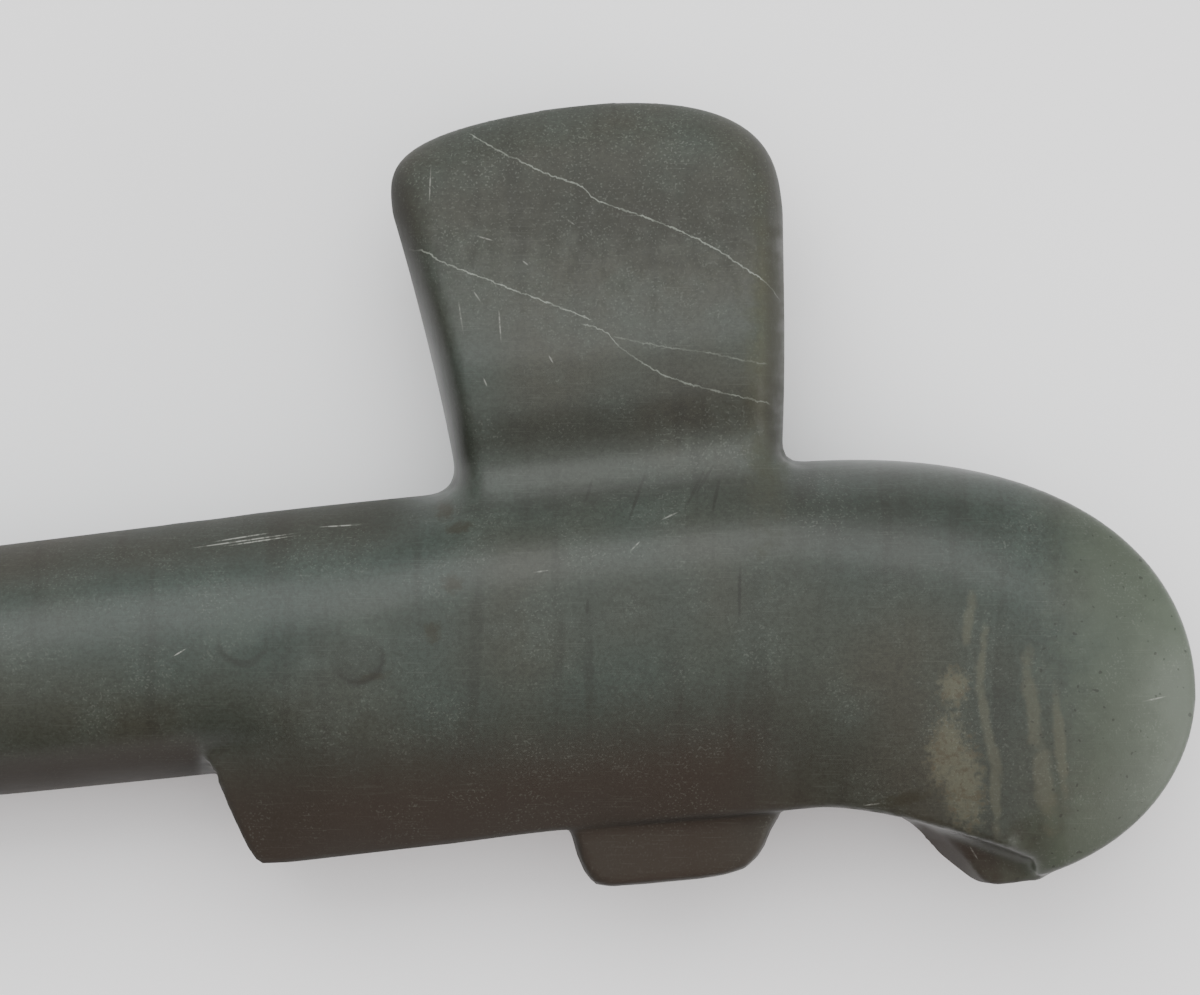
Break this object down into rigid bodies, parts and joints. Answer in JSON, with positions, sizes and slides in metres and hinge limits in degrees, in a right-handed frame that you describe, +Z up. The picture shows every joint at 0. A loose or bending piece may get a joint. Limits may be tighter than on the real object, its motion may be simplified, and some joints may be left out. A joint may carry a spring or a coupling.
{
  "type": "monolithic axe",
  "caption": "Axe whose straight round haft, flaring blade, short poll and curled tip are all carved from one piece of polished dark green stone, lying on its side",
  "frame": {"origin": "centre of the flat spot under the head, where the haft's axis crosses the celt's centre line, on the plane the axe rests on", "axes": "+X along the haft from the butt to the curled tip, +Y from the poll to the cutting bit, +Z up from the plane it lies on"},
  "size_m": [0.36, 0.1212, 0.0389],
  "materials": {
    "greenstone": "worn polish on a fine dark green stone, with pale hairline veins, tan inclusions at the tip, small chips and rust-brown stains"
  },
  "bodies": {
    "root": {"stone_axe": "greenstone"}
  },
  "joints": []
}
